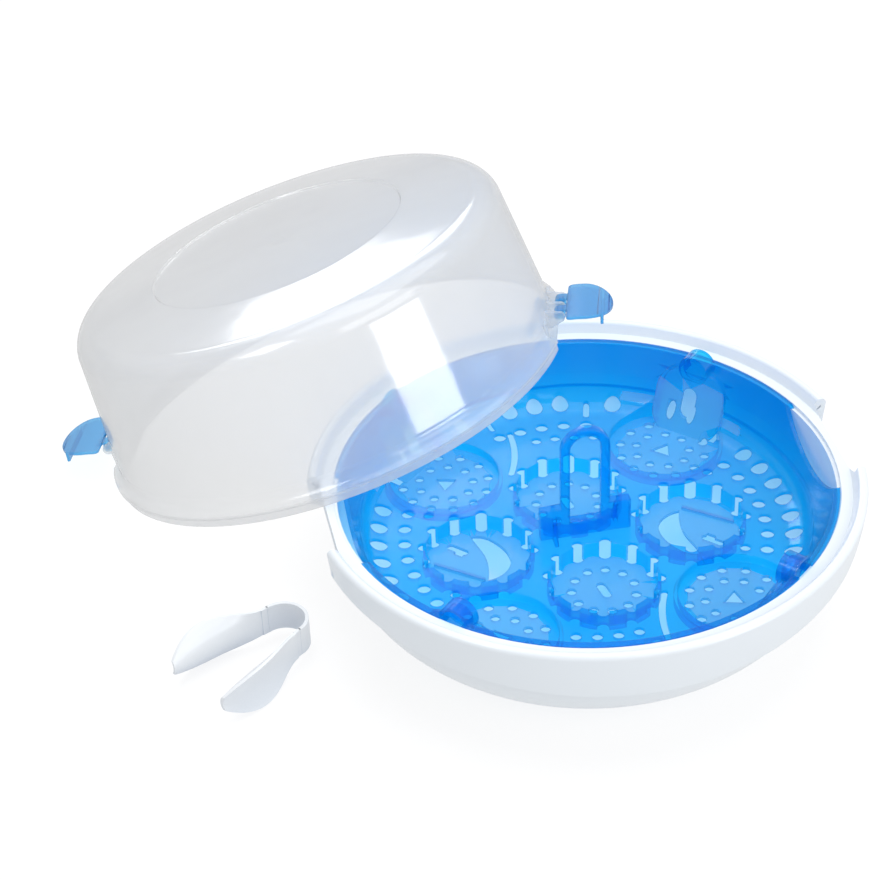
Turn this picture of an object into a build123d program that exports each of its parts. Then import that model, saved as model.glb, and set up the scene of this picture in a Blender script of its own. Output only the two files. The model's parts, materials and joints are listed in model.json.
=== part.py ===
from build123d import *
import math
import os

os.makedirs("parts", exist_ok=True)

# Bottle steam steriliser, millimetres, +Z up. The origin is the middle of the flat underside of
# the base. X runs through the two notches of the base. The lid is off and leans over the rim of
# the base, with its clips swung open, and the tongs stand on their edges beside the base.

# ------------------------------------------------------------------ driving dimensions
WALL = 1.8  # wall of the rack and of the lid

# base
LIP_R = 140.0  # outer edge of the lip, so 280 across
BASE_H = 72.0
FOOT_R = 87.0  # flat underside
BASE_FLOOR_Z = 3.2
LEDGE_Z = 66.4  # ledge inside the lip, where the lid stands
LEDGE_R = 132.6
SEAT_Z = 64.6  # step inside the ledge, where the rack hangs
NOTCH_W = 60.0
NOTCH_X = 130.6  # straight bottom of the notch, seen from above
SKIRT_LOW_Z = 44.0  # lower edge of the skirt, front and back
SKIRT_ARC_R = 858.0  # that edge rises towards the notches on this arc
WEB_T = 2.4
RIDGE_Z = 59.8  # ridge that a clip catches under, in each notch
RIDGE_L = 44.0

# rack
RACK_TOP_Z = 66.5
RIM_R = 126.4
FLOOR_Z = 34.0
COVE_R = 101.0  # the floor turns up into the wall from here
SCOOP_R = 56.0  # arc dipping into the wall's edge at each notch
SCOOP_DEPTH = 14.0
CUP_R = 26.8
CUP_DEPTH = 9.0
CUP_SIDE = 56.0  # left and right cups, from the middle
CUP_FRONT = 37.0  # front and back cups, from the middle
CUP_SLOT_R = 3.1
WELL_R = 29.5
WELL_DEPTH = 5.0
WELL_PITCH_R = 88.4
WELL_ANGLE = 47.0
PANEL_W = 40.0
PANEL_TOP_Z = 62.5
PANEL_FOOT_R = 103.2  # front of a panel at the underside of the wells
PANEL_LEAN = 0.375  # outward run for each unit of height, as on the tray's wall
PANEL_TURN = -1.7  # degrees from the middle of a well to its panel
HUMP_Z = 64.0  # middle of the round hump on top of a panel
HUMP_R = 8.4
SIDE_RING_R = 105.5  # outermost rows of holes, by the notches
END_RING_R = 109.0  # and at the front and back
MIDDLE_RING_R = 92.3
INNER_RING_R = 81.5
HOLE_STEP = 7.7  # degrees from one hole of a side row to the next
LARGE_HOLE_R = 4.6
MEDIUM_HOLE_R = 3.5
SMALL_HOLE_R = 2.8

# handle of the rack
HANDLE_X = -0.3
HANDLE_T = 5.0
HANDLE_TOP_Z = 99.5
HANDLE_W = 25.5
HANDLE_LEG = 4.7
HANDLE_FOOT_W = 12.0
HANDLE_FOOT_H = 18.0
GUSSET_H = 20.0
GUSSET_D = 9.5

# lid, in its own upright frame: origin in the middle of its lower edge, clips on its X axis
FLANGE_R = 130.2
LOWER_LIP_R = 128.6
LOWER_LIP_H = 4.5
DOME_FOOT_R = 125.2
DOME_TOP_R = 120.3
SHOULDER_Z = 90.1
SHOULDER_R = 13.5
CROWN_Z = 95.0
RECESS_R = 69.5
RECESS_DEPTH = 1.1
HINGE_U = 131.0  # hinge axis of a clip, out from the lid's middle
HINGE_Z = 13.0
HINGE_WALL_U = 124.2  # flat wall behind each clip
PIN_R = 1.6
LUG_R = 2.8
LUG_T = 2.5
LUG_SPAN = 12.25  # outer lugs, either side of the middle one
CLIP_GAP_W = 46.0  # the flange is left out over this width at each clip
GAP_CORNER_R = 3.0

# clips
CLIP_W = 42.0
CLIP_L = 28.0
CLIP_ROOT = 3.6  # inner edge of the tab, out from the hinge
CLIP_SHOULDER = 12.0  # the tab's round end starts here
BARREL_OUT_R = 3.2
BARREL_BORE_R = 1.65
BARREL_V = 7.3  # middle of each barrel, along the pin
BARREL_W = 6.4
SLIT_W = 2.6  # slit that lets a barrel press over the pin
RIB_S = 21.5  # inner face of the latch rib, out from the hinge
RIB_T = 1.6
RIB_L = 33.0

# how the lid and its clips lie
LID_TILT = 20.55
LID_TILT_TOWARDS = 139.87  # heading of the lid's lowest point, counter-clockwise from +X
LID_OFFSET = 169.15
LID_OFFSET_TOWARDS = 127.32
CLIP_AXIS_HEADING = 25.2  # from the lid's lowest point round to its left clip
LEFT_CLIP_UP = 9.0  # clip angle above the plane of the lid's lower edge
RIGHT_CLIP_UP = -17.0

# tongs
TONGS_X = -159.5
TONGS_Y = -14.2
TONGS_HEADING = 213.0
BOW_R = 12.3
BOW_H = 16.0
BOW_T = 1.8
ARM_T = 1.6
ARM_Z = 12.7  # middle of the arms above the table
ARM_SPREAD = 5.5
ARM_ROOT = 3.4  # plain end of an arm beside its hinge


def heading(length, degrees):
    """Point at this distance from the origin, counter-clockwise from +X."""
    angle = math.radians(degrees)
    return (length * math.cos(angle), length * math.sin(angle))


# ------------------------------------------------------------------ base
# A bowl, its ledge and its lip, with the rim turned down outside as a skirt.
with BuildPart() as base:
    with BuildSketch(Plane.XZ):
        with BuildLine():
            ThreePointArc((134.6, 69.6), (137.2, BASE_H), (LIP_R, 69.2))
            Line((LIP_R, 69.2), (139.2, 62.0))
            ThreePointArc((139.2, 62.0), (137.8, 53.0), (135.4, 42.0))
            Line((135.4, 42.0), (133.0, 42.0))
            ThreePointArc((133.0, 42.0), (135.4, 53.0), (136.8, 62.0))
            Polyline((136.8, 62.0), (137.4, 68.2), (134.6, 69.6))
        make_face()
    revolve(axis=Axis.Z)
    with Locations((0, 0, SKIRT_LOW_Z + SKIRT_ARC_R)):
        Cylinder(radius=SKIRT_ARC_R, height=3 * LIP_R, rotation=(90, 0, 0), mode=Mode.INTERSECT)
    with BuildSketch(Plane.XZ):
        with BuildLine():
            Line((0, 0), (FOOT_R, 0))
            ThreePointArc((FOOT_R, 0), (103.8, 8.2), (116.6, 20.0))
            ThreePointArc((116.6, 20.0), (123.5, 31.0), (127.4, 44.5))
            Polyline((127.4, 44.5), (128.0, 63.6), (133.6, 63.6), (135.4, 65.8), (137.5, 68.4))
            Polyline((137.5, 68.4), (136.0, 71.2), (134.6, 70.0), (LEDGE_R, LEDGE_Z))
            Polyline((LEDGE_R, LEDGE_Z), (127.0, LEDGE_Z), (126.9, SEAT_Z), (125.1, SEAT_Z), (124.9, 44.8))
            ThreePointArc((124.9, 44.8), (121.2, 32.0), (114.5, 21.4))
            ThreePointArc((114.5, 21.4), (102.4, 10.4), (86.6, BASE_FLOOR_Z))
            Polyline((86.6, BASE_FLOOR_Z), (0, BASE_FLOOR_Z), (0, 0))
        make_face()
    revolve(axis=Axis.Z)
    # the lip and the skirt are left out at the two notches
    for side in (-1, 1):
        with Locations((side * LIP_R, 0, 0)):
            Box(2 * (LIP_R - NOTCH_X), NOTCH_W, 3 * BASE_H, mode=Mode.SUBTRACT)
    # a web closes each end of the hollow between skirt and bowl
    with BuildSketch(Plane(origin=(0, NOTCH_W / 2, 0), x_dir=(1, 0, 0), z_dir=(0, -1, 0))):
        with BuildLine():
            Polyline((123.0, 64.2), (131.0, 64.4), (134.9, 67.6), (135.6, 58.0), (133.6, 54.5))
            Polyline((133.6, 54.5), (122.4, 48.0), (123.0, 64.2))
        make_face()
    web = extrude(amount=-WEB_T)
    mirror(web, about=Plane.XZ)
    mirror(web, about=Plane.YZ)
    mirror(mirror(web, about=Plane.XZ, mode=Mode.PRIVATE), about=Plane.YZ)
    with Locations((-128.1, 0, RIDGE_Z), (128.1, 0, RIDGE_Z)):
        Box(4.6, RIDGE_L, 2.4)
base.part.label = "base"
export_step(base.part, "parts/base.step")

# ------------------------------------------------------------------ rack
WALL_FOOT = (114.8, 45.0)  # inner face of the wall, where the cove ends
WALL_TOP = (122.9, RACK_TOP_Z)
UNDERSIDE_Z = FLOOR_Z - WALL
WELL_UNDERSIDE_Z = FLOOR_Z - WELL_DEPTH - WALL
CUP_UNDERSIDE_Z = FLOOR_Z - CUP_DEPTH - WALL
WELL_ANGLES = [WELL_ANGLE, 180 - WELL_ANGLE, 180 + WELL_ANGLE, -WELL_ANGLE]
PANEL_ANGLES = [angle + PANEL_TURN for angle in WELL_ANGLES]
CUPS = [(CUP_SIDE, 0), (-CUP_SIDE, 0), (0, CUP_FRONT), (0, -CUP_FRONT)]

with BuildPart() as lean_cut:
    # everything in front of the leaning face of a panel, for a panel on the +X axis
    lean_foot = PANEL_FOOT_R - PANEL_LEAN * (WELL_UNDERSIDE_Z + 20)
    lean_top = lean_foot + PANEL_LEAN * 110
    with BuildSketch(Plane.XZ):
        with BuildLine():
            Polyline((70, -20), (lean_foot, -20), (lean_top, 90), (70, 90), close=True)
        make_face()
    extrude(amount=PANEL_W, both=True)

with BuildPart() as wall_space:
    # the space inside the middle of the tray's wall, down to the underside of the wells
    with BuildSketch(Plane.XZ):
        with BuildLine():
            Polyline((60, WELL_UNDERSIDE_Z), (111.9, WELL_UNDERSIDE_Z), (115.8, 45.0), (123.5, 65.3))
            Polyline((123.5, 65.3), (60, 65.3), (60, WELL_UNDERSIDE_Z))
        make_face()
    revolve(axis=Axis.Z)

with BuildPart() as panel_out:
    with BuildSketch(Plane.YZ.offset(100)):
        with Locations((0, (PANEL_TOP_Z + WELL_UNDERSIDE_Z) / 2)):
            Rectangle(PANEL_W, PANEL_TOP_Z - WELL_UNDERSIDE_Z)
        fillet(vertices().group_by(Axis.Z)[-1], radius=12)
    extrude(amount=30)
    add(lean_cut.part, mode=Mode.SUBTRACT)
    add(wall_space.part, mode=Mode.INTERSECT)
    with BuildSketch(Plane.YZ.offset(114.5)):
        with Locations((0, HUMP_Z)):
            Circle(HUMP_R)
    extrude(amount=9.6)

with BuildPart() as panel_in:
    with BuildSketch(Plane.YZ.offset(100)):
        with Locations((0, (PANEL_TOP_Z - WALL) / 2)):
            Rectangle(PANEL_W - 2 * WALL, PANEL_TOP_Z - WALL)
        fillet(vertices().group_by(Axis.Z)[-1], radius=12 - WALL)
    extrude(amount=30)
    with Locations((WALL + 0.15, 0, 0)):
        add(lean_cut.part, mode=Mode.SUBTRACT)
    with BuildSketch(Plane.YZ.offset(116.4)):
        with Locations((0, HUMP_Z)):
            Circle(HUMP_R - WALL)
    extrude(amount=12)

with BuildPart() as well_walls:
    # walls and floors of the wells, up into the thickness of the floor and the cove
    with BuildSketch(Plane.XZ):
        with BuildLine():
            Polyline((40, WELL_UNDERSIDE_Z), (113.1, WELL_UNDERSIDE_Z), (113.1, 40.4), (109.6, 36.0))
            Polyline((109.6, 36.0), (COVE_R, 33.2), (40, 33.2), (40, WELL_UNDERSIDE_Z))
        make_face()
    revolve(axis=Axis.Z)
    with BuildSketch(Plane.XY):
        for angle in WELL_ANGLES:
            with Locations(heading(WELL_PITCH_R, angle)):
                Circle(WELL_R + WALL)
    extrude(amount=BASE_H, mode=Mode.INTERSECT)

slot_middle = ThreePointArc((25.4, -56.5), (19.6, -73.0), (17.9, -91.0))
with BuildSketch() as long_slot:
    # bent slot that runs out from beside the front cup
    SlotArc(slot_middle, 3.4)

with BuildSketch() as crescent:
    # window in a side cup, from the cup's middle
    with BuildLine():
        Spline((-16.2, 2.4), (-13.4, 9.4), (-8.0, 13.9), (-1.6, 15.6))
        Spline((-1.6, 15.6), (-4.0, 5.4), (-4.3, -2.5), (-2.6, -11.3), (-0.6, -21.0))
        Spline((-0.6, -21.0), (-6.9, -19.4), (-12.4, -12.6), (-15.6, -4.8), (-16.2, 2.4))
    make_face()

with BuildPart() as rack:
    with BuildSketch(Plane.XZ):
        with BuildLine():
            Line((0, FLOOR_Z), (COVE_R, FLOOR_Z))
            ThreePointArc((COVE_R, FLOOR_Z), (109.8, 37.0), WALL_FOOT)
            Polyline(WALL_FOOT, WALL_TOP, (RIM_R, RACK_TOP_Z), (RIM_R, 64.7), (124.4, 64.7), (116.6, 44.3))
            ThreePointArc((116.6, 44.3), (110.9, 35.6), (COVE_R + 0.4, UNDERSIDE_Z))
            Polyline((COVE_R + 0.4, UNDERSIDE_Z), (0, UNDERSIDE_Z), (0, FLOOR_Z))
        make_face()
    revolve(axis=Axis.Z)
    add(well_walls.part)
    with BuildSketch(Plane.XY.offset(FLOOR_Z - WELL_DEPTH)):
        for angle in WELL_ANGLES:
            with Locations(heading(WELL_PITCH_R, angle)):
                Circle(WELL_R)
    extrude(amount=17, mode=Mode.SUBTRACT)
    # cups: scalloped pockets under the floor
    with BuildSketch(Plane.XY.offset(CUP_UNDERSIDE_Z)):
        with Locations(CUPS):
            Circle(CUP_R + WALL)
    extrude(amount=UNDERSIDE_Z - CUP_UNDERSIDE_Z + 0.5)
    with BuildSketch(Plane.XY.offset(FLOOR_Z - CUP_DEPTH)):
        with Locations(CUPS):
            Circle(CUP_R)
    extrude(amount=30, mode=Mode.SUBTRACT)
    # panels that lean back against the wall, one behind each well
    for angle in PANEL_ANGLES:
        add(panel_out.part, rotation=(0, 0, angle))
    for angle in PANEL_ANGLES:
        add(panel_in.part, rotation=(0, 0, angle), mode=Mode.SUBTRACT)
        across = heading(1, angle + 90)
        with BuildSketch(Plane(origin=heading(98, angle), x_dir=across, z_dir=heading(1, angle))):
            with Locations((0, 45.5)):
                SlotOverall(16, 8.4, rotation=90)
        extrude(amount=28, mode=Mode.SUBTRACT)
    # the wall's edge dips on an arc towards each notch of the base
    for side in (-1, 1):
        with BuildSketch(Plane.YZ.offset(side * 100)):
            with Locations((0, RACK_TOP_Z - SCOOP_DEPTH + SCOOP_R)):
                Circle(SCOOP_R)
        extrude(amount=side * 30, mode=Mode.SUBTRACT)

    # drain holes and slots, all straight down
    with BuildSketch(Plane.XY):
        for turn in (0, 180):
            for step in range(-3, 4):
                with Locations(heading(SIDE_RING_R, step * HOLE_STEP + turn)):
                    Circle(LARGE_HOLE_R)
                with Locations(heading(MIDDLE_RING_R, step * HOLE_STEP + turn)):
                    Circle(MEDIUM_HOLE_R)
            for angle in (-23.5, 23.5):
                with Locations(heading(INNER_RING_R, angle + turn)):
                    Circle(SMALL_HOLE_R)
        for turn in (90, 270):
            for angle in (-22.5, -7.5, 0, 7.5, 22.5):
                with Locations(heading(END_RING_R, angle + turn)):
                    Circle(LARGE_HOLE_R)
            for angle in (-7.5, 0, 7.5):
                with Locations(heading(MIDDLE_RING_R, angle + turn)):
                    Circle(MEDIUM_HOLE_R)
            for angle in (-17.9, -10.6, -3.3, 4.0):
                with Locations(heading(INNER_RING_R, angle + turn)):
                    Circle(SMALL_HOLE_R)
        for angle in (75, 105):
            with Locations(heading(92.4, angle)):
                Circle(MEDIUM_HOLE_R)
            with Locations(Location(heading(104.5, angle), angle)):
                SlotOverall(11, 3.2)
        for turn in (0, 180):
            with Locations(Location((0, 0), turn)):
                add(long_slot.sketch)
        # wells: a three-cornered cut-out with a ring of holes round it
        for angle in WELL_ANGLES:
            with Locations(Location(heading(WELL_PITCH_R - 1.5, angle), angle)):
                RegularPolygon(6.4, 3)
                with PolarLocations(14.4, 9, start_angle=20):
                    Circle(2.4)
                with PolarLocations(22.8, 12, start_angle=15):
                    Circle(2.6)
        # cups: upright slots round the wall, and the holes of the front and back cups
        with Locations(CUPS):
            with PolarLocations(CUP_R + WALL / 2, 12, start_angle=14):
                Circle(CUP_SLOT_R)
        with Locations((0, CUP_FRONT), (0, -CUP_FRONT)):
            with PolarLocations(16.3, 11, start_angle=7.5):
                Circle(2.5)
            SlotOverall(12, 4.8, rotation=100)
        # side cups: a crescent window and a small kinked slot, turned half round on the left
        for turn in (0, 180):
            with Locations(Location(heading(CUP_SIDE, turn), turn)):
                add(crescent.sketch)
                with Locations(Location((8.2, -12.2), -46)):
                    SlotOverall(12.5, 4.2)
                    with Locations((-2.5, 2.2)):
                        Rectangle(5, 3)
    extrude(amount=WALL_FOOT[1], mode=Mode.SUBTRACT)
    # low ribs that run on from the crescent windows across the side cups
    for turn in (0, 180):
        cup_middle = (*heading(CUP_SIDE, turn), FLOOR_Z - CUP_DEPTH - 0.4)
        with BuildSketch(Plane(origin=cup_middle, x_dir=heading(1, turn), z_dir=(0, 0, 1))):
            with Locations(Location((11.3, 7.2), -39)):
                SlotOverall(29, 1.6)
        extrude(amount=2.4)
rack.part.label = "rack"
export_step(rack.part, "parts/rack.step")

# ------------------------------------------------------------------ handle of the rack
# A closed upright loop on the middle of the floor, with a foot each side and two small gussets.
LOOP_R = HANDLE_W / 2
LOOP_Z = HANDLE_TOP_Z - LOOP_R
SILL_Z = FLOOR_Z + HANDLE_FOOT_H / 2
with BuildPart() as rack_handle:
    with BuildSketch(Plane.XZ):
        with Locations((HANDLE_X, (FLOOR_Z + LOOP_Z) / 2)):
            Rectangle(HANDLE_W, LOOP_Z - FLOOR_Z)
        with Locations((HANDLE_X, LOOP_Z)):
            Circle(LOOP_R)
            Circle(LOOP_R - HANDLE_LEG, mode=Mode.SUBTRACT)
        with Locations((HANDLE_X, (SILL_Z + LOOP_Z) / 2)):
            Rectangle(HANDLE_W - 2 * HANDLE_LEG, LOOP_Z - SILL_Z, mode=Mode.SUBTRACT)
        with Locations((HANDLE_X, SILL_Z)):
            with GridLocations(HANDLE_W + 0.8 * HANDLE_FOOT_W, 0, 2, 1):
                Rectangle(HANDLE_FOOT_W, HANDLE_FOOT_H)
    extrude(amount=HANDLE_T / 2, both=True)
    fillet(edges().filter_by(GeomType.CIRCLE), radius=1.2)
    for turn in (0, 180):
        across = heading(1, turn + 90)
        with BuildSketch(Plane(origin=heading(17, turn), x_dir=across, z_dir=heading(1, turn))):
            with BuildLine():
                Polyline((0, FLOOR_Z), (GUSSET_D, FLOOR_Z), (0, FLOOR_Z + GUSSET_H), close=True)
            make_face()
            with Locations((3.4, FLOOR_Z + 7)):
                SlotOverall(8, 2.4, rotation=90, mode=Mode.SUBTRACT)
        extrude(amount=1, both=True)
rack_handle.part.label = "rack_handle"
export_step(rack_handle.part, "parts/rack_handle.step")

# ------------------------------------------------------------------ lid
DOME_BEND = (DOME_TOP_R, SHOULDER_Z - SHOULDER_R)  # top of the dome's straight wall, outside
with BuildPart() as lid_upright:
    with BuildSketch(Plane.XZ):
        with BuildLine():
            Polyline((LOWER_LIP_R, 0), (LOWER_LIP_R, LOWER_LIP_H), (FLANGE_R, LOWER_LIP_H), (FLANGE_R, 6.2))
            ThreePointArc((FLANGE_R, 6.2), (126.9, 8.9), (DOME_FOOT_R, 15.0))
            Line((DOME_FOOT_R, 15.0), DOME_BEND)
            ThreePointArc(DOME_BEND, (116.1, 86.1), (106.5, SHOULDER_Z))
            Polyline((106.5, SHOULDER_Z), (RECESS_R + 0.8, CROWN_Z), (RECESS_R, CROWN_Z - RECESS_DEPTH))
            Polyline((RECESS_R, CROWN_Z - RECESS_DEPTH), (0, CROWN_Z), (0, CROWN_Z - WALL))
            Polyline((0, CROWN_Z - WALL), (RECESS_R - 0.6, CROWN_Z - RECESS_DEPTH - WALL))
            Line((RECESS_R - 0.6, CROWN_Z - RECESS_DEPTH - WALL), (RECESS_R + 0.6, CROWN_Z - WALL - 0.1))
            Line((RECESS_R + 0.6, CROWN_Z - WALL - 0.1), (106.3, SHOULDER_Z - WALL))
            ThreePointArc((106.3, SHOULDER_Z - WALL), (114.8, 84.8), (DOME_TOP_R - WALL, 76.4))
            Line((DOME_TOP_R - WALL, 76.4), (DOME_FOOT_R - WALL, 14.9))
            ThreePointArc((DOME_FOOT_R - WALL, 14.9), (125.1, 8.1), (LOWER_LIP_R - WALL, 4.0))
            Polyline((LOWER_LIP_R - WALL, 4.0), (LOWER_LIP_R - WALL, 0), (LOWER_LIP_R, 0))
        make_face()
    revolve(axis=Axis.Z)
    # the flange gives way to a flat wall where each clip is hinged
    for side in (-1, 1):
        with Locations((side * HINGE_WALL_U, 0, 8.0)):
            Box(2.0, CLIP_GAP_W + 5, 16.0)
        with BuildSketch(Plane.XY.offset(-1)):
            with BuildLine():
                gap_in = side * (HINGE_WALL_U + 1.0)
                gap_bend = gap_in + side * 0.707 * GAP_CORNER_R
                gap_out = gap_in + side * GAP_CORNER_R
                corner_v = CLIP_GAP_W / 2 + 0.293 * GAP_CORNER_R
                wide_v = CLIP_GAP_W / 2 + GAP_CORNER_R
                ThreePointArc((gap_out, -wide_v), (gap_bend, -corner_v), (gap_in, -CLIP_GAP_W / 2))
                Line((gap_in, -CLIP_GAP_W / 2), (gap_in, CLIP_GAP_W / 2))
                ThreePointArc((gap_in, CLIP_GAP_W / 2), (gap_bend, corner_v), (gap_out, wide_v))
                Polyline((gap_out, wide_v), (side * LIP_R, wide_v), (side * LIP_R, -wide_v))
                Line((side * LIP_R, -wide_v), (gap_out, -wide_v))
            make_face()
        extrude(amount=16.6, mode=Mode.SUBTRACT)
        with BuildSketch(Plane.XZ):
            with BuildLine():
                Line((side * 124.6, 8.4), (side * HINGE_WALL_U, 18.6))
                Line((side * HINGE_WALL_U, 18.6), (side * HINGE_U, HINGE_Z + LUG_R))
                Line((side * HINGE_U, HINGE_Z + LUG_R), (side * HINGE_U, HINGE_Z - LUG_R))
                Line((side * HINGE_U, HINGE_Z - LUG_R), (side * 124.6, 8.4))
            make_face()
            with Locations((side * HINGE_U, HINGE_Z)):
                Circle(LUG_R)
        lug = extrude(amount=LUG_T / 2, both=True)
        with Locations((0, -LUG_SPAN, 0), (0, LUG_SPAN, 0)):
            add(lug)
        with Locations((side * HINGE_U, 0, HINGE_Z)):
            Cylinder(radius=PIN_R, height=2 * LUG_SPAN, rotation=(90, 0, 0))

tilt = math.radians(LID_TILT)
low_x, low_y = heading(1, LID_TILT_TOWARDS)
lid_axis = Vector(math.sin(tilt) * low_x, math.sin(tilt) * low_y, math.cos(tilt))
down_slope = Vector(math.cos(tilt) * low_x, math.cos(tilt) * low_y, -math.sin(tilt))
along_slope = lid_axis.cross(down_slope)
to_clip_u, to_clip_v = heading(1, CLIP_AXIS_HEADING)
to_left_clip = down_slope * to_clip_u + along_slope * to_clip_v
lid_middle = (*heading(LID_OFFSET, LID_OFFSET_TOWARDS), LOWER_LIP_R * math.sin(tilt) + 0.05)
lid_place = Plane(origin=lid_middle, x_dir=to_left_clip * -1, z_dir=lid_axis).location
with BuildPart() as lid:
    with Locations(lid_place):
        add(lid_upright.part)
lid.part.label = "lid"
export_step(lid.part, "parts/lid.step")

# ------------------------------------------------------------------ clips
# Hinge on the Y axis, tab out along +X: a gently arched D-shaped tab on two slit barrels.
with BuildPart() as clip_flat:
    with BuildSketch(Plane.XZ):
        with BuildLine():
            ThreePointArc((CLIP_ROOT, 3.4), (14.0, 4.2), (CLIP_L, 2.2))
            Line((CLIP_L, 2.2), (CLIP_L, 0.4))
            ThreePointArc((CLIP_L, 0.4), (14.0, 2.4), (CLIP_ROOT, 1.6))
            Line((CLIP_ROOT, 1.6), (CLIP_ROOT, 3.4))
        make_face()
    extrude(amount=CLIP_W / 2, both=True)
    with BuildSketch(Plane.XY):
        with BuildLine():
            Polyline((CLIP_SHOULDER, CLIP_W / 2), (CLIP_ROOT, CLIP_W / 2), (CLIP_ROOT, -CLIP_W / 2))
            Line((CLIP_ROOT, -CLIP_W / 2), (CLIP_SHOULDER, -CLIP_W / 2))
            end_l = CLIP_L - CLIP_SHOULDER
            EllipticalCenterArc((CLIP_SHOULDER, 0), end_l, CLIP_W / 2, start_angle=-90, arc_size=180)
        make_face()
        fillet(vertices().group_by(Axis.X)[0], radius=3)
    extrude(amount=10, mode=Mode.INTERSECT)
    for side in (-1, 1):
        with Locations((2.6, side * BARREL_V, 2.5)):
            Box(5.2, BARREL_W, 1.4)
        with Locations((0, side * BARREL_V, 0)):
            Cylinder(radius=BARREL_OUT_R, height=BARREL_W, rotation=(90, 0, 0))
    Cylinder(radius=BARREL_BORE_R, height=CLIP_W, rotation=(90, 0, 0), mode=Mode.SUBTRACT)
    with Locations((0, 0, -BARREL_OUT_R)):
        Box(SLIT_W, CLIP_W, 2 * BARREL_OUT_R, mode=Mode.SUBTRACT)
    with Locations((RIB_S + RIB_T / 2, 0, 0.1)):
        Box(RIB_T, RIB_L, 5.4)


def clip_place(side, up):
    """Where a clip sits on the upright lid: side is -1 or 1, up is its angle in degrees."""
    out, rise = heading(1, up)
    hinge = (side * HINGE_U, 0, HINGE_Z)
    return Plane(origin=hinge, x_dir=(side * out, 0, rise), z_dir=(-side * rise, 0, out)).location


with BuildPart() as clip_left:
    with Locations(lid_place * clip_place(-1, LEFT_CLIP_UP)):
        add(clip_flat.part)
clip_left.part.label = "clip_left"
export_step(clip_left.part, "parts/clip_left.step")

with BuildPart() as clip_right:
    with Locations(lid_place * clip_place(1, RIGHT_CLIP_UP)):
        add(clip_flat.part)
clip_right.part.label = "clip_right"
export_step(clip_right.part, "parts/clip_right.step")

# ------------------------------------------------------------------ tongs
# A springy bow with a leaf-shaped arm from each end. The arms are channels, hollow side outward.
tongs_place = Plane(origin=(TONGS_X, TONGS_Y, 0), x_dir=heading(1, TONGS_HEADING), z_dir=(0, 0, 1))
with BuildPart() as tongs_bow:
    with BuildSketch(tongs_place.offset(ARM_Z - BOW_H / 2)):
        Circle(BOW_R + BOW_T / 2)
        Circle(BOW_R - BOW_T / 2, mode=Mode.SUBTRACT)
        with Locations((BOW_R - 0.95, 0)):
            Rectangle(2 * BOW_R, 3 * BOW_R, mode=Mode.SUBTRACT)
    extrude(amount=BOW_H)
tongs_bow.part.label = "tongs_bow"
export_step(tongs_bow.part, "parts/tongs_bow.step")

# stations along an arm: distance from the hinge, height, depth of the channel, outward bend
ARM_STATIONS = [
    (3.0, 16.0, 0.3, 0.2),
    (19.0, 22.0, 3.8, 0.6),
    (35.0, 25.0, 7.0, 0.6),
    (48.0, 18.5, 5.0, 0.3),
    (56.5, 8.0, 1.4, 0.0),
]


def make_arm(side):
    """One arm of the tongs: side -1 is the back arm, 1 is the front arm."""
    along_x, along_y = heading(1, side * ARM_SPREAD)
    root = tongs_place.location * Location((0, side * BOW_R, ARM_Z))
    arm_location = root * Plane(origin=(0, 0, 0), x_dir=(along_x, along_y, 0), z_dir=(0, 0, 1)).location
    with BuildPart() as arm:
        for distance, height, depth, bend in ARM_STATIONS:
            station = arm_location * Location((distance, side * bend, 0)) * Plane.YZ.location
            with BuildSketch(Plane(station)):
                outer = side * ARM_T / 2
                outer_rim = side * depth + outer
                inner_rim = side * depth - outer
                with BuildLine():
                    ThreePointArc((outer_rim, -height / 2), (outer, 0), (outer_rim, height / 2))
                    Line((outer_rim, height / 2), (inner_rim, height / 2))
                    ThreePointArc((inner_rim, height / 2), (-outer, 0), (inner_rim, -height / 2))
                    Line((inner_rim, -height / 2), (outer_rim, -height / 2))
                make_face()
        loft()
        with BuildSketch(Plane(arm_location).offset(-BOW_H / 2)):
            Circle(ARM_T / 2)
            with Locations((ARM_ROOT / 2, 0)):
                Rectangle(ARM_ROOT, ARM_T)
        extrude(amount=BOW_H)
    return arm


tongs_arm_back = make_arm(-1)
tongs_arm_back.part.label = "tongs_arm_back"
export_step(tongs_arm_back.part, "parts/tongs_arm_back.step")

tongs_arm_front = make_arm(1)
tongs_arm_front.part.label = "tongs_arm_front"
export_step(tongs_arm_front.part, "parts/tongs_arm_front.step")
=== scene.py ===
import json
import math

import bmesh
import bpy
from mathutils import Matrix, Vector


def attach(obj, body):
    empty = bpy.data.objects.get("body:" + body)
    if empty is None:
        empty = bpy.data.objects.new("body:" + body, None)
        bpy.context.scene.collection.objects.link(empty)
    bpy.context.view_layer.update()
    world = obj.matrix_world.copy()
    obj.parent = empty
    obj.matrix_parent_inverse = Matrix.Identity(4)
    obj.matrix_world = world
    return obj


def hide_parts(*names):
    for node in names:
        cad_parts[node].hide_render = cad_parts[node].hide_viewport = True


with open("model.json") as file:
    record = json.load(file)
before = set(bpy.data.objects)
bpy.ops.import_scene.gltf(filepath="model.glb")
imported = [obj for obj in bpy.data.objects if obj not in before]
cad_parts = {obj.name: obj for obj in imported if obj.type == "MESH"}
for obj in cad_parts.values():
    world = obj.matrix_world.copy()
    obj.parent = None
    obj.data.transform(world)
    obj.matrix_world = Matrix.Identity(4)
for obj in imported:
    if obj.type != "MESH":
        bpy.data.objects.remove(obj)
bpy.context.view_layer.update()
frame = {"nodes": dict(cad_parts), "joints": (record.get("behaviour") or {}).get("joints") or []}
scene = bpy.context.scene
MM = 0.001
UP = Vector((0, 0, 1))

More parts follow.
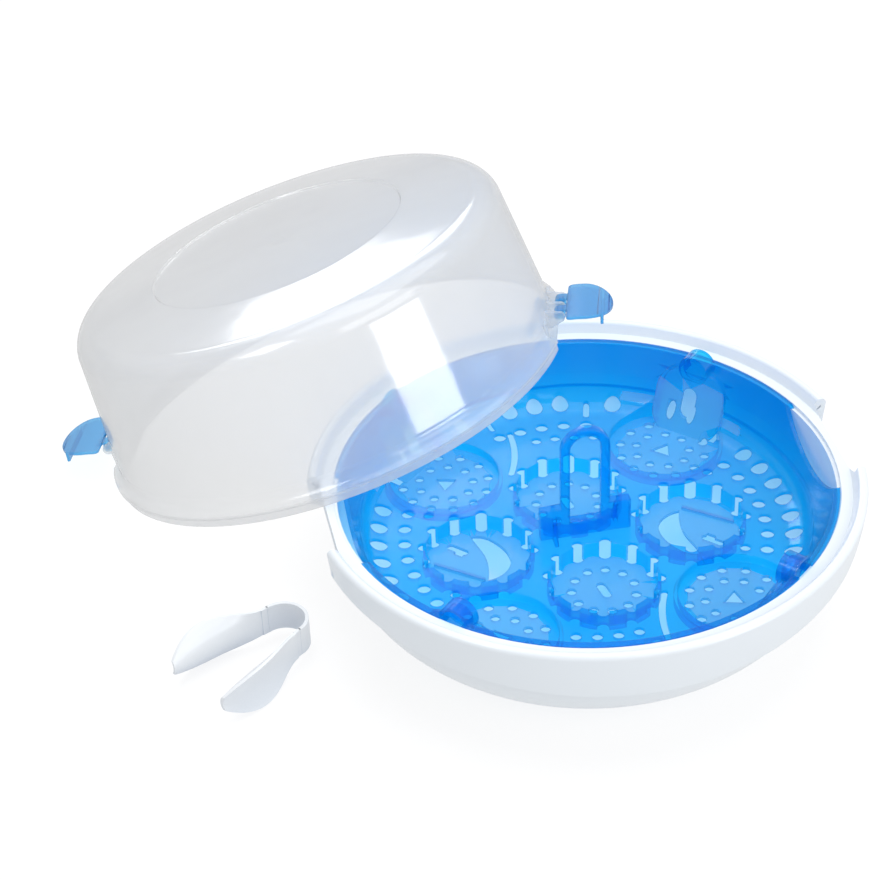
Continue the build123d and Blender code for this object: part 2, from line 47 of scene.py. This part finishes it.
# sizes, in metres
EDGE_ROUND = 0.6 * MM  # radius that edges seem to have in reflections
SMALL_ROUND = 0.3 * MM  # bevel on the handle and the clips
SAME_POINT = 0.02 * MM  # points nearer than this are one
TINY_EDGE = 0.001 * MM
WELL_X, WELL_Y = 0.0603, 0.0647  # middles of the rack's wells
WELL_MILKY_R = 25 * MM
CUP_SIDE, CUP_FRONT = 0.056, 0.037  # middles of the rack's cups
CUP_MILKY_R = 24 * MM
PANEL_LOW = 38 * MM  # the panels are milky from here up
PANEL_REACH = 40 * MM  # from the middle of the panel's well
PANEL_R = 0.114  # inside the tray's wall
TRAY_TOP = 37 * MM
CUT_EDGE_H = 2.4 * MM  # upright faces lower than this are cut edges
HINGE_H = 13 * MM  # hinges above the lid's lower edge
LID_RIM_H = 5 * MM
BOW_END = 1.2 * MM  # the end faces of the tongs' bow are nearer than this to the pivots
BOW_RUN_ON = 0.9 * MM
SHARP = math.radians(28)
BEVEL_FROM = math.radians(32)
FLAT = math.radians(0.4)

# a face is upright below the first of these shares of its normal along Z, and level above the other
UPRIGHT = 0.35
LEVEL = 0.8
HANDLE_SIDE = 0.6  # share of its normal along Y, at most, for the handle's narrow sides
SOFT_EDGE = 0.6  # how much the handle's sides and the lid's rim look like cut edges

# translucent plastic
TRAY_FADE = (-0.06, 0.06)  # the tray's floor gets milkier from the first to the second, along Y
TRAY_MILK = 0.7
MILK_HAZE = 0.28  # haze added where the moulding is milkiest
CLOUDS = (0.92, 1.08)  # slow changes of haze
WAVE_STRENGTH, WAVE_HEIGHT = 0.30, 0.6 * MM
SHINE_POWER = 3.5
SHINE_GRAZING = 0.85


# ------------------------------------------------------------------ materials
class Nodes:
    """A material's node tree, with short ways to add and join nodes."""

    def __init__(self, name):
        self.material = bpy.data.materials.new(name)
        self.material.use_nodes = True
        self.tree = self.material.node_tree
        self.tree.nodes.clear()

    def add(self, kind, **values):
        node = self.tree.nodes.new(kind)
        for key, value in values.items():
            if key in node.inputs:
                node.inputs[key].default_value = value
            else:
                setattr(node, key, value)
        return node

    def join(self, output, socket):
        self.tree.links.new(output, socket)

    def math(self, operation, *operands):
        """Result of a Math node. Each operand is a socket or a number."""
        node = self.add("ShaderNodeMath", operation=operation)
        for socket, operand in zip(node.inputs, operands):
            if isinstance(operand, (int, float)):
                socket.default_value = operand
            else:
                self.join(operand, socket)
        return node.outputs[0]

    def blend(self, factor, low, high):
        """Colour between two. Each is a socket or a colour."""
        mix = self.add("ShaderNodeMix", data_type="RGBA")
        for socket, colour in ((mix.inputs["A"], low), (mix.inputs["B"], high)):
            if isinstance(colour, tuple):
                socket.default_value = colour
            else:
                self.join(colour, socket)
        self.join(factor, mix.inputs["Factor"])
        return next(o for o in mix.outputs if o.type == "RGBA")

    def spread(self, factor, low, high):
        """Value between two, by a factor socket."""
        scale = self.add("ShaderNodeMapRange")
        scale.inputs["To Min"].default_value = low
        scale.inputs["To Max"].default_value = high
        self.join(factor, scale.inputs["Value"])
        return scale.outputs["Result"]

    def shaders(self, factor, first, second):
        """Shader between two, by a factor socket or a number."""
        mix = self.add("ShaderNodeMixShader")
        if isinstance(factor, float):
            mix.inputs["Fac"].default_value = factor
        else:
            self.join(factor, mix.inputs["Fac"])
        self.join(first.outputs[0], mix.inputs[1])
        self.join(second.outputs[0], mix.inputs[2])
        return mix

    def noise(self, scale, detail):
        place = self.add("ShaderNodeTexCoord")
        cloud = self.add("ShaderNodeTexNoise", Scale=scale, Detail=detail)
        self.join(place.outputs["Object"], cloud.inputs["Vector"])
        return cloud.outputs["Fac"]

    def marked(self, name):
        """Number that is stored on the faces, or 0 where a mesh has none."""
        return self.add("ShaderNodeAttribute", attribute_name=name).outputs["Fac"]

    def milkiness(self):
        """The marked places, and the tray's floor from the front towards the back."""
        place = self.add("ShaderNodeTexCoord")
        parts = self.add("ShaderNodeSeparateXYZ")
        self.join(place.outputs["Object"], parts.inputs[0])
        fade = self.add("ShaderNodeMapRange")
        fade.inputs["From Min"].default_value = TRAY_FADE[0]
        fade.inputs["From Max"].default_value = TRAY_FADE[1]
        fade.inputs["To Max"].default_value = TRAY_MILK
        self.join(parts.outputs["Y"], fade.inputs["Value"])
        floor_share = self.math("MULTIPLY", fade.outputs["Result"], self.marked("tray"))
        return self.math("MAXIMUM", floor_share, self.marked("frost"))

    def soft_normal(self):
        """Faint waves of a moulded surface, over edges that look rounded."""
        rounded = self.add("ShaderNodeBevel", Radius=EDGE_ROUND, samples=3)
        waves = self.add("ShaderNodeBump", Strength=WAVE_STRENGTH, Distance=WAVE_HEIGHT)
        self.join(self.noise(40.0, 1.0), waves.inputs["Height"])
        self.join(rounded.outputs[0], waves.inputs["Normal"])
        return waves.outputs["Normal"]

    def finish(self, shader):
        out = self.add("ShaderNodeOutputMaterial")
        self.join(shader.outputs[0], out.inputs["Surface"])
        return self.material


def white_plastic(name, colour, dull, painted_shade, reach, rough):
    """Opaque moulded plastic with a soft gloss, slow changes of tone and painted shade, bluer in its
    hollows.
    """
    m = Nodes(name)
    body = m.add("ShaderNodeBsdfPrincipled", IOR=1.49, Roughness=rough)
    tone = m.blend(m.noise(5.0, 0.0), colour, dull)
    # painted shade: ambient occlusion turns the base colour towards the shade colour in hollows and corners
    open_sky = m.add("ShaderNodeAmbientOcclusion", Distance=reach, samples=8)
    m.join(m.blend(open_sky.outputs["AO"], painted_shade, tone), body.inputs["Base Color"])
    return m.finish(body)


def clear_plastic(name, tint, deep, body, shade, haze, edge_haze, shine_low, rough, pale=None):
    """Translucent moulded plastic. Tint is what one surface lets through square on, and deep what
    it lets through edge on and at cut edges. Haze is the share that scatters the light instead, in
    the body colour, or in the pale one where the moulding is milky."""
    m = Nodes(name)
    slant = m.add("ShaderNodeLayerWeight", Blend=0.35).outputs["Facing"]
    thick = m.math("MAXIMUM", m.marked("edge"), slant)
    normal = m.soft_normal()

    through = m.add("ShaderNodeBsdfTransparent")
    m.join(m.blend(thick, tint, deep), through.inputs["Color"])

    front = m.add("ShaderNodeBsdfDiffuse", Color=body)
    back = m.add("ShaderNodeBsdfTranslucent", Color=body)
    m.join(normal, front.inputs["Normal"])
    slow = m.spread(m.noise(9.0, 1.0), *CLOUDS)
    cloud = m.math("MULTIPLY", m.spread(thick, haze, edge_haze), slow)
    if pale:
        milk = m.milkiness()
        colour = m.blend(milk, body, pale)
        m.join(colour, front.inputs["Color"])
        m.join(colour, back.inputs["Color"])
        cloud = m.math("MULTIPLY_ADD", milk, MILK_HAZE, cloud)
    mass = m.shaders(cloud, through, m.shaders(0.5, front, back))

    # reflection grows with slant in the same way on both sides of a wall
    grazing = m.add("ShaderNodeLayerWeight", Blend=0.5)
    m.join(normal, grazing.inputs["Normal"])
    steep = m.math("POWER", grazing.outputs["Facing"], SHINE_POWER)
    shine = m.add("ShaderNodeBsdfGlossy", Roughness=rough)
    m.join(normal, shine.inputs["Normal"])
    coat = m.shaders(m.spread(steep, shine_low, SHINE_GRAZING), mass, shine)

    # light on its way to a surface behind is only tinted, so that little shade falls there
    passing = m.add("ShaderNodeBsdfTransparent", Color=shade)
    path = m.add("ShaderNodeLightPath")
    way = m.math("MAXIMUM", path.outputs["Is Shadow Ray"], path.outputs["Is Diffuse Ray"])
    return m.finish(m.shaders(way, coat, passing))


def light_table():
    """A pale floor that is partly lit from below, so that shadows on it stay faint."""
    m = Nodes("floor")
    paper = m.add("ShaderNodeBsdfDiffuse", Color=(0.25, 0.25, 0.25, 1))
    dim = m.add("ShaderNodeEmission", Color=(1, 1, 1, 1), Strength=0.60)
    lit = m.add("ShaderNodeEmission", Color=(1, 1, 1, 1), Strength=0.78)
    seen = m.add("ShaderNodeLightPath").outputs["Is Camera Ray"]
    glow = m.shaders(seen, dim, lit)
    both = m.add("ShaderNodeAddShader")
    m.join(paper.outputs[0], both.inputs[0])
    m.join(glow.outputs[0], both.inputs[1])
    return m.finish(both)


BASE_WHITE = white_plastic(
    "base_white",
    colour=(0.835, 0.885, 0.93, 1),
    dull=(0.825, 0.875, 0.92, 1),
    # colour of the painted shade in hollows, and how far the ambient occlusion reaches for it
    painted_shade=(0.62, 0.72, 0.84, 1),
    reach=0.012,
    rough=0.28,
)
TONGS_WHITE = white_plastic(
    "tongs_white",
    colour=(0.86, 0.885, 0.91, 1),
    dull=(0.84, 0.87, 0.90, 1),
    # colour of the painted shade in the arms' hollows, and how far the ambient occlusion reaches for it
    painted_shade=(0.45, 0.53, 0.66, 1),
    reach=0.020,
    rough=0.30,
)
RACK_BLUE = clear_plastic(
    "rack_blue",
    tint=(0.18, 0.84, 0.998, 1),
    deep=(0.005, 0.68, 0.93, 1),
    body=(0.02, 0.50, 1.0, 1),
    pale=(0.46, 0.67, 0.85, 1),
    shade=(0.50, 0.84, 1.0, 1),
    haze=0.03,
    edge_haze=0.14,
    shine_low=0.018,
    rough=0.14,
)
CLIP_BLUE = clear_plastic(
    "clip_blue",
    tint=(0.46, 0.80, 0.96, 1),
    deep=(0.02, 0.40, 0.80, 1),
    body=(0.22, 0.55, 0.88, 1),
    shade=(0.80, 0.94, 1.0, 1),
    haze=0.20,
    edge_haze=0.45,
    shine_low=0.03,
    rough=0.16,
)
LID_CLEAR = clear_plastic(
    "lid_clear",
    tint=(0.95, 0.955, 0.957, 1),
    deep=(0.86, 0.87, 0.885, 1),
    body=(0.95, 0.95, 0.95, 1),
    shade=(0.96, 0.96, 0.96, 1),
    haze=0.30,
    edge_haze=0.62,
    shine_low=0.04,
    rough=0.10,
)


# ------------------------------------------------------------------ pieces
def add_object(name, mesh, material):
    mesh.materials.clear()
    mesh.materials.append(material)
    piece = bpy.data.objects.new(name, mesh)
    scene.collection.objects.link(piece)
    return piece


def fine_copy(node, name, material):
    """A copy of a CAD node, with the CAD's own smooth normals."""
    return add_object(name, frame["nodes"][node].data.copy(), material)


def round_copy(node, name, material):
    """A copy of a CAD node with one skin and rounded edges."""
    mesh = frame["nodes"][node].data.copy()
    bm = bmesh.new()
    bm.from_mesh(mesh)
    bmesh.ops.remove_doubles(bm, verts=bm.verts, dist=SAME_POINT)
    bmesh.ops.dissolve_degenerate(bm, edges=bm.edges, dist=TINY_EDGE)
    bmesh.ops.dissolve_limit(bm, angle_limit=FLAT, verts=bm.verts, edges=bm.edges)
    for face in bm.faces:
        face.smooth = True
    for edge in bm.edges:
        edge.smooth = len(edge.link_faces) == 2 and edge.calc_face_angle(0) < SHARP
    bm.to_mesh(mesh)
    bm.free()
    if mesh.attributes.get("custom_normal"):
        mesh.attributes.remove(mesh.attributes["custom_normal"])
    piece = add_object(name, mesh, material)
    bevel = piece.modifiers.new("rounded edges", "BEVEL")
    bevel.width = SMALL_ROUND
    bevel.segments = 2
    bevel.limit_method = "ANGLE"
    bevel.angle_limit = BEVEL_FROM
    bevel.use_clamp_overlap = False
    return piece


def mark(piece, name, value):
    """Stores a number for each face: "edge" for a cut edge, "frost" for a milky place, "tray" for
    the rack's floor."""
    mesh = piece.data
    layer = mesh.attributes.new(name, "FLOAT", "FACE")
    layer.data.foreach_set("value", [float(value(mesh, face)) for face in mesh.polygons])


def is_cut_edge(mesh, face):
    """Whether a face of the rack is the cut edge of a hole or a wall."""
    levels = [mesh.vertices[v].co.z for v in face.vertices]
    return abs(face.normal.z) < UPRIGHT and max(levels) - min(levels) < CUT_EDGE_H


def is_milky(mesh, face):
    """Whether a face of the rack is in a well, in a cup or on a panel."""
    x, y = abs(face.center.x), abs(face.center.y)
    well = math.hypot(x - WELL_X, y - WELL_Y)
    cup = min(math.hypot(x - CUP_SIDE, y), math.hypot(x, y - CUP_FRONT))
    panel = face.center.z > PANEL_LOW and well < PANEL_REACH and math.hypot(x, y) < PANEL_R
    return well < WELL_MILKY_R or cup < CUP_MILKY_R or panel


def settle(piece, body, slot, *nodes):
    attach(piece, body)
    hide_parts(*nodes)


base = fine_copy("base", "base_shell", BASE_WHITE)
settle(base, "base", "base_white", "base")

rack = fine_copy("rack", "rack_tray", RACK_BLUE)
mark(rack, "edge", is_cut_edge)
mark(rack, "frost", is_milky)
mark(rack, "tray", lambda mesh, face: abs(face.normal.z) > LEVEL and face.center.z < TRAY_TOP)
settle(rack, "rack", "rack_blue", "rack")

handle = round_copy("rack_handle", "rack_loop", RACK_BLUE)
mark(handle, "edge", lambda mesh, face: SOFT_EDGE * (abs(face.normal.y) < HANDLE_SIDE))
settle(handle, "rack", "rack_blue", "rack_handle")

# the lid's own frame, from its hinges
joints = {joint["name"]: joint for joint in frame["joints"]}
left_pin = Vector(joints["clip_left_hinge"]["pos_m"])
right_pin = Vector(joints["clip_right_hinge"]["pos_m"])
hinge_axis = Vector(joints["clip_right_hinge"]["axis"]).normalized()
lid_up = (right_pin - left_pin).normalized().cross(hinge_axis)
lid_middle = (left_pin + right_pin) / 2 - HINGE_H * lid_up

lid = fine_copy("lid", "lid_dome", LID_CLEAR)
mark(
    lid,
    "edge",
    lambda mesh, face: SOFT_EDGE * ((face.center - lid_middle).dot(lid_up) < LID_RIM_H),
)
settle(lid, "lid", "lid_clear", "lid")

for side in ("left", "right"):
    clip = round_copy("clip_" + side, "clip_tab_" + side, CLIP_BLUE)
    settle(clip, "clip_" + side, "clip_blue", "clip_" + side)

bow = fine_copy("tongs_bow", "tongs_spring", TONGS_WHITE)
settle(bow, "tongs", "tongs_white", "tongs_bow")
# the bow's ends run on over the roots of the arms, as in one moulding
back_pivot = Vector(joints["tongs_squeeze"]["pos_m"])
front_pivot = Vector(joints["tongs_squeeze_front"]["pos_m"])
along = (front_pivot - back_pivot).normalized().cross(UP)
for vertex in bow.data.vertices:
    if (vertex.co - back_pivot).dot(along) > -BOW_END:
        vertex.co += BOW_RUN_ON * along

for side in ("back", "front"):
    arm = fine_copy("tongs_arm_" + side, "tongs_leaf_" + side, TONGS_WHITE)
    settle(arm, "tongs_arm_" + side, "tongs_white", "tongs_arm_" + side)

# ------------------------------------------------------------------ floor and light
FLOOR_HALF = 4.0
FLOOR_Z = -0.0003
bm = bmesh.new()
for x, y in ((-1, -1), (1, -1), (1, 1), (-1, 1)):
    bm.verts.new((x * FLOOR_HALF, y * FLOOR_HALF, FLOOR_Z))
bm.faces.new(bm.verts)
floor_mesh = bpy.data.meshes.new("floor")
bm.to_mesh(floor_mesh)
bm.free()
floor = add_object("floor", floor_mesh, light_table())

world = bpy.data.worlds.new("studio")
scene.world = world
world.use_nodes = True
sky = world.node_tree.nodes["Background"]
sky.inputs["Color"].default_value = (0.97, 0.98, 1.0, 1)
sky.inputs["Strength"].default_value = 0.66

LOOK_AT = Vector((-0.03, 0.03, 0.06))


def softbox(name, azimuth, elevation, distance, width, height, power, glints=False):
    """Area light seen from the object at this azimuth, counter-clockwise from +X. One for glints
    shows only in reflections."""
    a, e = math.radians(azimuth), math.radians(elevation)
    away = Vector((math.cos(a) * math.cos(e), math.sin(a) * math.cos(e), math.sin(e)))
    light = bpy.data.lights.new(name, "AREA")
    light.shape = "RECTANGLE"
    light.size = width
    light.size_y = height
    light.energy = power
    lamp = bpy.data.objects.new(name, light)
    scene.collection.objects.link(lamp)
    lamp.location = LOOK_AT + away * distance
    lamp.rotation_euler = away.to_track_quat("Z", "Y").to_euler()
    lamp.visible_diffuse = not glints
    lamp.visible_transmission = not glints


softbox("key", azimuth=60, elevation=80, distance=1.8, width=1.6, height=1.6, power=17)
softbox("fill", azimuth=-60, elevation=35, distance=1.8, width=1.4, height=0.8, power=8)
softbox(
    "window front right",
    azimuth=-49,
    elevation=8,
    distance=1.6,
    width=0.8,
    height=0.26,
    power=7,
    glints=True,
)
softbox("window left", azimuth=-152, elevation=50, distance=1.6, width=0.5, height=0.5, power=6, glints=True)
softbox("window back", azimuth=97, elevation=30, distance=1.8, width=1.1, height=0.6, power=9, glints=True)

# ------------------------------------------------------------------ camera, at the photograph's angle
CAMERA_AZIMUTH = -10.597
CAMERA_ELEVATION = 36.341
CAMERA_ROLL = -2.300
CAMERA_PLACE = (-0.246611, -0.925991, 0.798135)
az, el, roll = (math.radians(v) for v in (CAMERA_AZIMUTH, CAMERA_ELEVATION, CAMERA_ROLL))
away = Vector((math.sin(az) * math.cos(el), -math.cos(az) * math.cos(el), math.sin(el)))
level = (-away).cross(UP).normalized()
upright = level.cross(-away)
right = math.cos(roll) * level + math.sin(roll) * upright
top = math.cos(roll) * upright - math.sin(roll) * level
camera = bpy.data.objects.new("camera", bpy.data.cameras.new("camera"))
scene.collection.objects.link(camera)
camera.data.lens = 98.135
camera.data.sensor_width = 36.0
camera.data.clip_end = 20.0
camera.matrix_world = Matrix.Translation(CAMERA_PLACE) @ Matrix((right, top, away)).transposed().to_4x4()
scene.camera = camera
scene.view_settings.view_transform = "Standard"
# a ray to the floor may cross the lid, the rack and its holes many times
scene.cycles.transparent_max_bounces = 40
scene.cycles.max_bounces = 12
